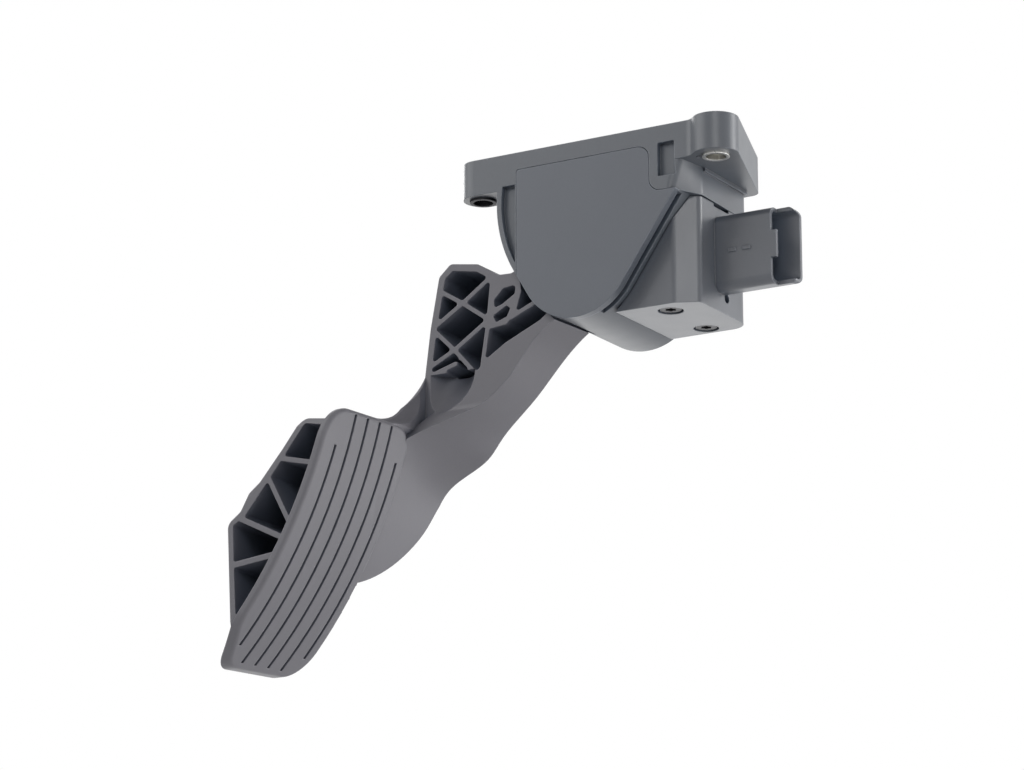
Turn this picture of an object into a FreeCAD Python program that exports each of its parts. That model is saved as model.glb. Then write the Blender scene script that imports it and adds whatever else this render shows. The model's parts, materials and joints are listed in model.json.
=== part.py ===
# Electronic accelerator pedal of a passenger car, in millimetres.
# +Z is the outward normal of the mounting face, +Y runs along the pivot pin and +X points
# from the pedal's foot end towards the connector. The origin lies on the mounting face,
# straight above the pivot axis and in the middle of the housing's width.

import FreeCAD
import Part
import math
import os

V = FreeCAD.Vector

# Housing and flange
housing_width = 51.0
flange_thickness = 13.0
pivot_drop = 41.4
barrel_radius = 22.0
housing_left = 31.5
housing_right = 42.5
left_wall_radius = barrel_radius + 27.0
left_wall_start = pivot_drop - 23.4
joint_height = 23.2
lobe_tip = 39.5
chamber_wall = 3.6
far_wall = 3.0
cover_thickness = 3.0
cover_clearance = 0.15
cover_top = 6.4
cover_left = 23.5
cover_right = 29.3
cover_corner = 4.5
arm_window_top = 31.5
arm_window_right = 6.5
rail_step = 3.1
rail_groove = 1.6
rail_back = 8.0

# Mounting lugs: x and the distance of the hole from the near face
lug_radius = 7.0
boss_radius = 8.0
left_lug = (-41.3, 7.0)
right_lug = (53.5, 3.6)
far_lug = (20.0, housing_width + 7.5)
slant_end = (42.9, housing_width - 4.2)
slant_corner = 4.0
sleeve_radius = 4.7
sleeve_bore = 3.5
sleeve_proud = 0.8
sleeve_clearance = 0.02

# Recesses in the near face
recess_depth = 2.2
recess_wall = 1.8
lobe_recess_width = 6.5
lobe_recess_height = 12.0

# Pivot, hub and bushes
pin_radius = 4.0
running_clearance = 0.05
bush_wall = 1.5
bush_length = 8.0
magnet_room = 5.4
hub_radius = barrel_radius - chamber_wall - magnet_room
bearing_boss_radius = 6.8
near_boss_length = 3.2
far_boss_length = 6.0
pin_seat = 2.0
side_clearance = 0.35

# Arm
arm_near = 3.4
arm_width = 21.6
web_thickness = 2.2
rib = 1.5
rim = 2.6
pocket_corner = 0.9

# Pad: its front is an arc of this centre in the side view
pad_centre = (-233.5, -56.5)
pad_radius = 175.6
pad_left = 55.3
pad_width = 50.1
pad_cut = (9.6, 13.5)
pad_cut_round = 9.0
pad_top = 96.6
pad_bottom = 181.0
pad_lean = 0.035
pad_plate = 3.0
pad_edge_round = 1.5
pad_rib_inset = 1.2
pad_pocket_depth = 42.0
groove_first = 47.5
groove_count = 6
groove_pitch = 7.4
groove_width = 1.4
groove_depth = 0.9
groove_margin = 1.5
groove_outer_top = 13.0
groove_outer_bottom = 6.2
blade_back = 1.6
blade_foot = (-17.5, -106.4, 43.7)

# Sensor housing and connector
sensor_bottom = 61.4
sensor_far = housing_width - 2.8
sensor_wall = 2.2
seal_thickness = 1.0
chamfer_x = 8.4
chamfer_y = 4.0
chamfer_round = 4.0
end_round = 2.5
far_round = 7.0
neck_start = 30.5
neck_round = 3.0
neck_top = ((41.8, 0.0), (43.0, 13.0))
neck_foot = ((37.8, 0.0), (43.4, 12.6))
seal_gap = 0.15
seal_inset = 0.5
seal_width = 1.2
connector_near = 22.2
connector_depth = 9.6
connector_top = 27.7
connector_height = 27.2
connector_wall = 1.4
connector_corner = 3.2
connector_near_length = 21.6
connector_far_length = 28.7
connector_root = 4.0
step_depth = 4.9
dash = (3.2, 1.2, 0.4)
terminal_count = 6
terminal_pitch = 3.2
terminal_thick = 0.8
terminal_high = 1.4
terminal_reach = 12.5
board_thickness = 1.6
screw_x = barrel_radius + 6.4
screw_near = 16.5
screw_far = sensor_far - 5.9
screw_head_radius = 3.8
screw_shank_radius = 1.75
screw_recess_radius = 4.5
screw_column_radius = 5.9
screw_boss_radius = 3.9

magnet_heading = -28.0

# Springs and friction parts
spring_lift = 20.0
spring_row = housing_width - 16.4
outer_spring_radius = 5.6
outer_wire = 1.6
inner_spring_radius = 3.3
inner_wire = 1.1
crank_half = 3.0
spring_seat_x = 24.6

near_y = -housing_width / 2
far_y = housing_width / 2
arm_y0 = near_y + arm_near
arm_y1 = arm_y0 + arm_width
pivot = (0.0, -pivot_drop)


# Outlines are walked anticlockwise. An item is a corner (a, b), a rounded corner (a, b, radius)
# or a disc that the outline wraps round, (a, b, radius, "disc"), negative where it is concave.
def outline(items, place):
    count = len(items)
    runs = []
    for i in range(count):
        first = items[i]
        second = items[(i + 1) % count]
        r1 = first[2] if len(first) == 4 else 0.0
        r2 = second[2] if len(second) == 4 else 0.0
        da = second[0] - first[0]
        db = second[1] - first[1]
        span = math.hypot(da, db)
        turn = math.atan2(db, da) + math.acos((r2 - r1) / span)
        na = math.cos(turn)
        nb = math.sin(turn)
        start = [first[0] - r1 * na, first[1] - r1 * nb]
        end = [second[0] - r2 * na, second[1] - r2 * nb]
        runs.append([start, end, (na, nb)])
    arcs = []
    for i in range(count):
        into = runs[i - 1]
        out = runs[i]
        item = items[i]
        if len(item) == 2:
            arcs.append(None)
            continue
        if len(item) == 4:
            radius = abs(item[2])
            begin = math.atan2(into[1][1] - item[1], into[1][0] - item[0])
            finish = math.atan2(out[0][1] - item[1], out[0][0] - item[0])
            way = 1 if item[2] > 0 else -1
            sweep = way * ((way * (finish - begin)) % (2 * math.pi))
            middle = begin + sweep / 2
            arcs.append((item[0] + radius * math.cos(middle), item[1] + radius * math.sin(middle)))
            continue
        na = into[2][0] + out[2][0]
        nb = into[2][1] + out[2][1]
        size = math.hypot(na, nb)
        na = na / size
        nb = nb / size
        cross = into[2][0] * out[2][1] - into[2][1] * out[2][0]
        dot = into[2][0] * out[2][0] + into[2][1] * out[2][1]
        half = abs(math.atan2(cross, dot)) / 2
        back = item[2] * math.tan(half)
        into[1][0] -= into[2][1] * back
        into[1][1] += into[2][0] * back
        out[0][0] += out[2][1] * back
        out[0][1] -= out[2][0] * back
        side = 1.0 if cross > 0 else -1.0
        depth = item[2] / math.cos(half) - item[2]
        arcs.append((item[0] + side * na * depth, item[1] + side * nb * depth))
    edges = []
    for i in range(count):
        start = runs[i][0]
        end = runs[i][1]
        if arcs[i] is not None:
            last = runs[i - 1][1]
            if math.hypot(last[0] - start[0], last[1] - start[1]) > 1e-6:
                bend = Part.Arc(place(*last), place(*arcs[i]), place(*start))
                edges.append(bend.toShape())
        if math.hypot(end[0] - start[0], end[1] - start[1]) > 1e-6:
            edges.append(Part.makeLine(place(*start), place(*end)))
    return Part.Wire(Part.__sortEdges__(edges))


# A prism on a side view outline (x, z), between two distances from the near face
def side_prism(items, y_from, y_to):
    wire = outline(items, lambda a, b: V(a, near_y + y_from, b))
    return Part.Face(wire).extrude(V(0, y_to - y_from, 0))


# A prism on a plan outline (x, distance from the near face), between two heights
def plan_prism(items, z_from, z_to):
    wire = outline(items, lambda a, b: V(a, near_y + b, z_from))
    return Part.Face(wire).extrude(V(0, 0, z_to - z_from))


# A prism on an outline seen along X (distance from the near face, z)
def front_prism(items, x_from, x_to):
    wire = outline(items, lambda a, b: V(x_from, near_y + a, b))
    return Part.Face(wire).extrude(V(x_to - x_from, 0, 0))


# A block from two corners, y counted from the near face
def block(x0, x1, y0, y1, z0, z1):
    return Part.makeBox(x1 - x0, y1 - y0, z1 - z0, V(x0, near_y + y0, z0))


# A cylinder along Y about a point of the side view
def drum(centre, radius, y_from, y_to):
    return Part.makeCylinder(radius, y_to - y_from, V(centre[0], near_y + y_from, centre[1]), V(0, 1, 0))


def upright(x, y, radius, z_from, z_to):
    return Part.makeCylinder(radius, z_to - z_from, V(x, near_y + y, z_from), V(0, 0, 1))


def join(shapes):
    whole = shapes[0]
    for shape in shapes[1:]:
        whole = whole.fuse(shape)
    return whole.removeSplitter()


def less(shape, tools):
    for tool in tools:
        shape = shape.cut(tool)
    return shape


# A straight bar of a side view, used for ribs
def rib_face(a, b, thick):
    run = math.hypot(b[0] - a[0], b[1] - a[1])
    ua = (b[0] - a[0]) / run
    ub = (b[1] - a[1]) / run
    half = thick / 2
    corners = [
        V(a[0] - ub * half, 0, a[1] + ua * half),
        V(b[0] - ub * half, 0, b[1] + ua * half),
        V(b[0] + ub * half, 0, b[1] - ua * half),
        V(a[0] + ub * half, 0, a[1] - ua * half),
    ]
    return Part.Face(Part.makePolygon(corners + [corners[0]]))


# Pockets between ribs: the region less the ribs, each piece with rounded corners
def pockets(region, ribs, corner, y_from, depth):
    field = Part.Face(outline(region, lambda a, b: V(a, 0, b)))
    for bar in ribs:
        field = field.cut(bar)
    solids = []
    for face in field.Faces:
        if face.Area < 8 * corner * corner:
            continue
        smaller = face.makeOffset2D(-corner)
        rounded = smaller.makeOffset2D(corner)
        rounded.translate(V(0, near_y + y_from, 0))
        solids.append(rounded.extrude(V(0, depth, 0)))
    return solids


# The housing's side outline, drawn inwards by an inset
def body_outline(inset):
    return [
        (-housing_left + inset, -cover_top - inset),
        (-housing_left + left_wall_radius, -left_wall_start, left_wall_radius - inset, "disc"),
        (pivot[0], pivot[1], barrel_radius - inset, "disc"),
        (lobe_tip - inset * 1.9, -joint_height - inset * 0.2),
        (lobe_tip - inset * 1.9, -cover_top - inset),
    ]


# The side cover's prism, drawn inwards by an inset from the body outline and by its own at the top
def cover_prism(inset, edge_inset, y_from, y_to):
    zone = side_prism([
        (-cover_left + edge_inset, -cover_top - edge_inset, 1.0),
        (-cover_left + edge_inset, -80.0),
        (60.0, -80.0),
        (60.0, -joint_height - edge_inset),
        (cover_right - edge_inset, -joint_height - edge_inset, cover_corner),
        (cover_right - edge_inset, -cover_top - edge_inset, cover_corner),
    ], y_from, y_to)
    return side_prism(body_outline(inset), y_from, y_to).common(zone)


def flange_plate():
    near_blend = 4.0
    items = [
        (left_lug[0], left_lug[1], lug_radius, "disc"),
        (44.0, -near_blend, -near_blend, "disc"),
        (right_lug[0], right_lug[1], boss_radius, "disc"),
        (slant_end[0], slant_end[1], slant_corner, "disc"),
        (-housing_left, housing_width, 3.0),
        (-housing_left, left_lug[1] + lug_radius, 2.0),
    ]
    plate = plan_prism(items, -flange_thickness, 0)
    far_items = [
        (far_lug[0] - 14, housing_width - 8, 2.0),
        (far_lug[0] + 14, housing_width - 8, 2.0),
        (far_lug[0], far_lug[1], boss_radius, "disc"),
    ]
    return join([plate, plan_prism(far_items, -flange_thickness, 0)])


# The neck's contour with its near corner at two points of the plan, at a height
def neck_wire(corner, z):
    far = sensor_far - 0.4
    return outline([
        (neck_start, 0.0),
        (corner[0][0], corner[0][1], neck_round),
        (corner[1][0], corner[1][1], neck_round),
        (housing_right, far, 4.0),
        (neck_start, far),
    ], lambda a, b: V(a, near_y + b, z))


# The neck turns from a square corner under the flange to a cut one where the sensor housing starts
def neck_block():
    return Part.makeLoft([
        neck_wire(neck_foot, -joint_height),
        neck_wire(neck_top, -flange_thickness + 1.0),
    ], True, True)


def make_housing():
    body = side_prism(body_outline(0.0), 0, housing_width)
    body = body.cut(block(neck_start, lobe_tip + 1, -1, neck_foot[1][1], -joint_height, -flange_thickness + 0.5))
    whole = join([body, neck_block(), flange_plate()])
    chamber = cover_prism(chamber_wall, chamber_wall, cover_thickness - 0.5, housing_width - far_wall)
    back_room = block(-housing_left + chamber_wall, -cover_left + chamber_wall + 1, cover_thickness + 20,
                      housing_width - far_wall, -arm_window_top - 4, -cover_top - chamber_wall)
    rebate = cover_prism(-1.0, -cover_clearance, -1, cover_thickness)
    window = block(-housing_left - 2, -arm_window_right, cover_thickness, arm_near + arm_width + 1.2,
                   -pivot_drop - barrel_radius - 2, -arm_window_top)
    recess = drum(left_wall_centre(), left_wall_radius - recess_wall, -1, recess_depth)
    recess = recess.common(block(-housing_left, -cover_left - 0.6, -1, recess_depth, -50, -cover_top - 5.2))
    lobe_recess = side_prism([
        (cover_right + 3.5, -6.2, 0.6),
        (cover_right + 3.5, -6.2 - lobe_recess_height, 0.6),
        (cover_right + 3.5 + lobe_recess_width, -6.2 - lobe_recess_height, 0.6),
        (cover_right + 3.5 + lobe_recess_width, -6.2, 0.6),
    ], -1, recess_depth)
    groove_zone = block(8, lobe_tip + 2, cover_thickness - 0.4, cover_thickness - 0.4 + rail_step,
                        -pivot_drop - barrel_radius, -joint_height - 0.6)
    groove = groove_zone.cut(side_prism(body_outline(rail_groove), 0, rail_back))
    whole = less(whole, [chamber, rebate, window, recess, lobe_recess, groove, back_room])
    boss = drum(pivot, bearing_boss_radius, housing_width - far_wall - far_boss_length, housing_width - far_wall)
    screw_posts = [
        upright(screw_x, y, screw_boss_radius, -joint_height - 24, -joint_height - 8)
        for y in (screw_near, screw_far)
    ]
    outside = side_prism(body_outline(chamber_wall - 0.5), 0, housing_width)
    screw_posts = [post.cut(outside) for post in screw_posts]
    bead = block(housing_right - 0.5, housing_right + 1.2, rail_back + 6.2, sensor_far - 3.0,
                 -flange_thickness - 1.2, -flange_thickness + 0.5)
    pip = upright(right_lug[0] - 6.0, right_lug[1] - 1.6, 0.6, -flange_thickness - 0.5, -flange_thickness + 0.5)
    whole = join([whole, boss, bead, pip] + screw_posts)
    pin_bore = drum(pivot, pin_radius + 0.01, housing_width - far_wall - far_boss_length - 1,
                    housing_width - far_wall + pin_seat)
    holes = [
        upright(x, y, sleeve_radius + sleeve_clearance, -flange_thickness - 2, 1)
        for x, y in (left_lug, right_lug, far_lug)
    ]
    screw_holes = [
        upright(screw_x, y, screw_shank_radius, -joint_height - 25, -joint_height - 10)
        for y in (screw_near, screw_far)
    ]
    lever_seat = drum(lever_pin_place(), 1.5, housing_width - far_wall - 4, housing_width - far_wall)
    lever_boss = drum(lever_pin_place(), 3.6, housing_width - far_wall - 4, housing_width - far_wall)
    whole = join([whole, lever_boss.common(cover_prism(1.0, 1.0, 0, housing_width))])
    stop_arm = block(-11.5, -8.6, spring_row - 7, housing_width - far_wall, -27, -cover_top - chamber_wall)
    whole = join([whole, stop_arm])
    return less(whole, [pin_bore, lever_seat] + holes + screw_holes)


def left_wall_centre():
    return (-housing_left + left_wall_radius, -left_wall_start)


def lever_pin_place():
    return (21.5, -31.5)


def make_side_cover():
    plate = cover_prism(0.0, 0.0, 0, cover_thickness)
    boss = drum(pivot, bearing_boss_radius, cover_thickness, cover_thickness + near_boss_length)
    lip_outset = chamber_wall + cover_clearance
    lip_outer = cover_prism(lip_outset, lip_outset, cover_thickness, cover_thickness + 1.6)
    lip_inner = cover_prism(lip_outset + 1.4, lip_outset + 1.4, cover_thickness, cover_thickness + 1.6)
    lip = lip_outer.cut(lip_inner)
    keep_out = block(-60, 0, 0, 12, -80, -arm_window_top + 1)
    whole = join([plate, boss, lip.cut(keep_out)])
    bore = drum(pivot, pin_radius + 0.01, cover_thickness - pin_seat, cover_thickness + near_boss_length + 1)
    return whole.cut(bore)


# Arm: profile points of the front skin at the near and the far edge, and of its back
skin_near = [
    (-10.8, -62.0), (-18.9, -67.3), (-23.9, -73.4), (-28.4, -79.4), (-36.0, -85.3),
    (-44.2, -88.9), (-52.5, -91.8), (-59.6, -96.3), (-64.6, -102.6),
]
skin_far = [
    (-8.8, -61.8), (-20.2, -71.7), (-30.6, -82.8), (-38.8, -90.1), (-44.5, -95.8),
    (-49.4, -101.7), (-54.4, -105.0), (-61.0, -108.2), (-66.0, -111.4),
]
beam_back = [
    (-14.4, -57.6), (-25.0, -63.0), (-33.0, -67.6), (-40.5, -73.0), (-47.5, -79.5),
    (-54.5, -85.0), (-60.5, -90.5), (-64.5, -97.0), (-68.5, -106.0),
]
blade_levels = (117.0, 126.0, 136.0, 150.0)


def loft_section(front, y):
    front = front + [(pad_x(-z, blade_back), -z) for z in blade_levels]
    back = beam_back + [(pad_x(-z, blade_back + 3.2), -z) for z in blade_levels]
    front_points = [V(x, near_y + y, z) for x, z in front]
    back_points = [V(x, near_y + y, z) for x, z in reversed(back)]
    front_curve = Part.BSplineCurve()
    front_curve.interpolate(front_points)
    back_curve = Part.BSplineCurve()
    back_curve.interpolate(back_points)
    edges = [
        front_curve.toShape(),
        Part.makeLine(front_points[-1], back_points[0]),
        back_curve.toShape(),
        Part.makeLine(back_points[-1], front_points[0]),
    ]
    return Part.Wire(edges)


# The side view's x on the pad's front arc, or a given distance behind it
def pad_x(z, back=0.0):
    return pad_centre[0] + math.sqrt((pad_radius - back) ** 2 - (z - pad_centre[1]) ** 2)


def pad_top_z(y):
    return -pad_top + pad_lean * (y + pad_left - pad_width / 2)


def pad_bottom_z(y):
    return -pad_bottom + pad_lean * (y + pad_left - pad_width / 2)


def make_pad_body():
    y0 = -pad_left
    y1 = -pad_left + pad_width
    band = drum(pad_centre, pad_radius, y0, y1).cut(drum(pad_centre, pad_radius - pad_plate, y0 - 1, y1 + 1))
    face_outline = front_prism([
        (y0, pad_bottom_z(y0) + pad_cut[1], 8.0),
        (y0 + pad_cut[0], pad_bottom_z(y0), pad_cut_round),
        (y1, pad_bottom_z(y1), 10.0),
        (y1, pad_top_z(y1), 8.0),
        (y0, pad_top_z(y0), 12.0),
    ], pad_x(-pad_bottom) - 12, pad_x(-pad_top) + 4)
    plate = band.common(face_outline)
    rims = [e for e in plate.Edges if on_front(e, pad_centre)]
    plate = plate.makeFillet(pad_edge_round, rims)
    joining = [(pad_x(-z, 1.5), -z) for z in (172.0, 162.0, 151.0, 137.0, 123.0, 110.0)]
    spine_items = [
        (pad_x(-102.4, 1.5), -102.4, 1.0),
        (-75.4, -100.8, 2.5),
        (-83.4, -110.8, 6.0),
        (-92.6, -121.4, 2.0),
        (-97.0, -124.8, 3.0),
        (-100.4, -130.8, 3.0),
        (-105.6, -134.6, 3.5),
        (-103.8, -168.4),
    ]
    support = side_prism(spine_items + joining, y0 + pad_rib_inset, y1 - 3.0).common(face_outline)
    region = [
        (pad_x(-104.4, pad_plate), -104.4),
        (-74.6, -102.9),
        (-88.9, -120.7),
        (-98.7, -132.4),
        (-103.5, -135.2),
        (-103.0, -147.5),
        (-101.6, -168.5),
    ] + [(pad_x(-z, pad_plate), -z) for z in (167.5, 158.0, 149.0, 137.0, 123.0, 110.0)]
    ribs = [
        rib_face((-85.5, -113.8), (-70.0, -117.4), 1.7),
        rib_face((-90.5, -117.8), (-79.6, -138.2), 1.7),
        rib_face((-103.0, -131.9), (-79.0, -143.7), 1.9),
        rib_face((-105.0, -149.2), (-83.0, -146.8), 2.0),
    ]
    voids = pockets(region, ribs, pocket_corner, y0, pad_pocket_depth)
    whole = join([plate, less(support, voids)])
    grooves = []
    for i in range(groove_count):
        outer = i in (0, groove_count - 1)
        y = -groove_first + i * groove_pitch
        z_top = pad_top_z(y) - (groove_outer_top if outer else groove_margin)
        z_bottom = pad_bottom_z(y) + (groove_outer_bottom if outer else groove_margin)
        ring = drum(pad_centre, pad_radius + 2, y - groove_width / 2, y + groove_width / 2)
        ring = ring.cut(drum(pad_centre, pad_radius - groove_depth, y - 1, y + 1))
        grooves.append(ring.common(block(-140, 0, y - 1, y + 1, z_bottom, z_top)))
    return less(whole, grooves)


def on_front(edge, centre):
    for vertex in edge.Vertexes:
        reach = math.hypot(vertex.X - centre[0], vertex.Z - centre[1])
        if abs(reach - pad_radius) > 0.01:
            return False
    return True


# The lattice's pockets and slots, cut from the near side
def lattice_voids():
    region = [
        (-17.0, -45.2),
        (-33.4, -45.0),
        (-41.8, -39.8),
        (-51.8, -38.0),
        (-54.9, -40.4),
        (-58.4, -58.6),
        (-60.7, -75.6),
        (-41.2, -75.6),
        (-37.6, -72.1),
        (-30.2, -67.5),
        (-15.9, -61.2),
        (-11.0, -57.5),
    ]
    first = (-47.6, -50.5)
    second = (-50.9, -67.1)
    third = (-36.9, -58.0)
    runs = [
        [(-58.5, -43.8), first, third],
        [(-60.0, -58.1), first, (-36.5, -42.9)],
        [(-35.4, -43.0), third, (-39.1, -72.1), (-39.7, -77.0)],
        [third, second, (-61.0, -72.0)],
        [(-60.0, -58.2), second, (-40.6, -78.6)],
        [(-61.0, -75.2), (-50.5, -72.2)],
        [(-28.0, -58.6), (-10.0, -51.2)],
    ]
    ribs = []
    for run in runs:
        for start, end in zip(run, run[1:]):
            ribs.append(rib_face(start, end, rib))
            ribs.append(Part.Face(Part.Wire(Part.makeCircle(rib / 2, V(end[0], 0, end[1]), V(0, 1, 0)))))
    plateau = outline([
        (-36.0, -44.0),
        (-24.4, -43.0),
        (-23.6, -49.6),
        (-26.3, -57.6),
        (-29.8, -60.8),
        (-36.4, -61.4),
    ], lambda a, b: V(a, 0, b))
    ribs.append(Part.Face(plateau))
    depth = arm_width - web_thickness
    voids = pockets(region, ribs, pocket_corner, arm_near - 1, depth + 1)
    voids.append(side_prism([
        (-34.8, -51.2, 1.0), (-31.0, -47.5, 1.6), (-25.8, -47.0, 1.2), (-26.2, -50.2, 1.0), (-31.4, -53.3, 1.0),
        (-34.5, -54.2, 1.0),
    ], arm_near - 1, arm_near + depth))
    voids.append(side_prism([
        (-35.2, -56.9, 0.7), (-29.6, -53.9, 0.7), (-28.0, -55.2, 0.6), (-29.4, -58.0, 0.7), (-33.8, -59.5, 0.7),
    ], arm_near - 1, arm_near + 12.0))
    return voids


# The hollow that runs from the lattice's foot down to the pad's corner: ellipses, each with its
# height, its centre's x and distance from the near face, and its two half axes
scoop_rings = [
    (-75.0, -51.5, -8.6, 11.5, 20.0),
    (-81.0, -52.3, -10.4, 11.8, 20.0),
    (-87.0, -54.6, -14.4, 11.0, 20.0),
    (-93.0, -59.2, -21.4, 7.6, 18.0),
    (-98.0, -62.6, -41.6, 2.4, 14.0),
]


def scoop_tool():
    rings = []
    for z, x, y, half_x, half_y in scoop_rings:
        ellipse = Part.Ellipse(V(x, near_y + y + half_y, z), V(x + half_x, near_y + y, z), V(x, near_y + y, z))
        rings.append(Part.Wire(ellipse.toShape()))
    return Part.makeLoft(rings, True, False)


def make_arm():
    y0 = arm_near
    y1 = arm_near + arm_width
    hub = drum(pivot, hub_radius, cover_thickness + near_boss_length + side_clearance,
               housing_width - far_wall - far_boss_length - side_clearance)
    fin = side_prism([
        (pivot[0], pivot[1] + 2.0, 10.0, "disc"),
        (-27.5, -42.6, 3.0),
        (-33.0, -42.4, 5.0),
        (-41.2, -37.2, 3.0),
        (-52.6, -35.4, 2.4),
        (-57.3, -39.6, 2.4),
        (-60.8, -58.4, 60.0),
        (-63.4, -79.0, 60.0),
        (-68.0, -103.0),
        (-62.0, -100.0),
        (-55.0, -93.6),
        (-44.0, -87.0),
        (-28.0, -75.0),
        (-12.5, -61.0),
        (-6.0, -53.0),
    ], y0, y1)
    boot = Part.makeLoft([loft_section(skin_near, -8.1), loft_section(skin_far, y1)], True, False)
    boot = boot.common(front_prism([
        (y0, -50.0),
        (y0, -88.6, 3.0),
        (-4.0, -96.3, 6.0),
        (-8.1, -100.1),
        (-8.1, -150.0),
        (y1, -150.0),
        (y1, -50.0),
    ], -130, 20))
    foot = Part.makeCylinder(blade_foot[2], 150.0, V(-130.0, near_y + blade_foot[0], blade_foot[1]), V(1, 0, 0))
    boot = boot.cut(block(-130, 20, -9.0, y1 + 1, -151.0, blade_foot[1] - 1.6).cut(foot))
    neck = front_prism([
        (y1, -66.0),
        (y0, -66.0),
        (y0, -74.0),
        (-27.5, -74.0),
        (-27.5, -pad_top - 6.0),
        (y1, -pad_top - 6.0),
    ], -71.0, -62.6)
    neck = neck.cut(Part.makeCylinder(40.5, 20.0, V(-75.0, near_y - 32.1, -56.1), V(1, 0, 0)))
    neck = neck.common(side_prism([
        (-58.0, -66.0),
        (-61.9, -66.0),
        (-63.4, -79.0, 60.0),
        (-68.0, -103.4),
        (pad_x(-103.4, 1.0), -103.4),
        (pad_x(-98.0, 1.0), -98.0),
        (-58.0, -90.0),
    ], -60, 60))
    upper = less(join([fin, boot, neck]), lattice_voids() + [scoop_tool()])
    crank = block(-crank_half, crank_half, spring_row - 5.5, spring_row + 5.5,
                  pivot[1], pivot[1] + spring_lift + 7.0)
    guide = Part.makeCylinder(inner_spring_radius - inner_wire / 2 - 0.3, 3.5,
                              V(crank_half, near_y + spring_row, pivot[1] + spring_lift), V(1, 0, 0))
    whole = join([hub, upper, make_pad_body(), crank, guide])
    bore = drum(pivot, pin_radius + bush_wall + 0.5, 0, housing_width)
    seats = [drum(pivot, pin_radius + bush_wall, start, start + bush_length) for start in bush_starts()]
    keep = drum(pivot, hub_radius - 2, 0, housing_width)
    boss_room = drum(pivot, bearing_boss_radius + 0.6, 0, cover_thickness + near_boss_length + side_clearance)
    core = less(keep.common(whole), [bore])
    ends = [
        less(drum(pivot, hub_radius - 2.5, start, start + bush_length), [seat])
        for start, seat in zip(bush_starts(), seats)
    ]
    whole = join([less(whole, [keep]), core] + ends)
    return less(whole, [boss_room] + seats)


def bush_starts():
    hub_start = cover_thickness + near_boss_length + side_clearance
    hub_end = housing_width - far_wall - far_boss_length - side_clearance
    return (hub_start, hub_end - bush_length)


def make_bush(start):
    outer = drum(pivot, pin_radius + bush_wall, start, start + bush_length)
    return outer.cut(drum(pivot, pin_radius + running_clearance, start - 1, start + bush_length + 1))


def make_pin():
    return drum(pivot, pin_radius, cover_thickness - pin_seat + 0.1, housing_width - far_wall + pin_seat - 0.1)


def make_sleeve(x, y):
    tube = upright(x, y, sleeve_radius, -flange_thickness - sleeve_proud, 0)
    return tube.cut(upright(x, y, sleeve_bore, -flange_thickness - sleeve_proud - 1, 1))


# The room of the chamber wall's slanted side, grown by a gap, which the sensor housing leaves free
def belly(gap):
    return side_prism([
        (-60.0, 10.0),
        (-60.0, pivot[1] - 40),
        (pivot[0] - 8, pivot[1] - 40),
        (pivot[0], pivot[1], barrel_radius + gap, "disc"),
        (lobe_tip + gap * 1.4, -joint_height),
        (lobe_tip + gap * 1.4, 10.0),
    ], 0, housing_width)


# The sensor housing's room, drawn inwards by an inset on every side
def sensor_block(inset):
    end_x = sensor_end() - inset
    near = rail_back + inset
    plan = plan_prism([
        (0.0, near),
        (end_x - chamfer_x + inset * 0.8, near, chamfer_round),
        (end_x, near + chamfer_y - inset * 0.4, max(end_round - inset, 0.2)),
        (end_x, sensor_far - inset, far_round - inset),
        (0.0, sensor_far - inset),
    ], -sensor_bottom - 1, 0)
    return side_prism([
        (0.0, -sensor_bottom + inset),
        (end_x, -sensor_bottom + inset),
        (end_x, -joint_height - cover_clearance - inset),
        (0.0, -joint_height - cover_clearance - inset),
    ], near, sensor_far - inset).common(plan)


def sensor_end():
    return housing_right + 0.2


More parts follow.
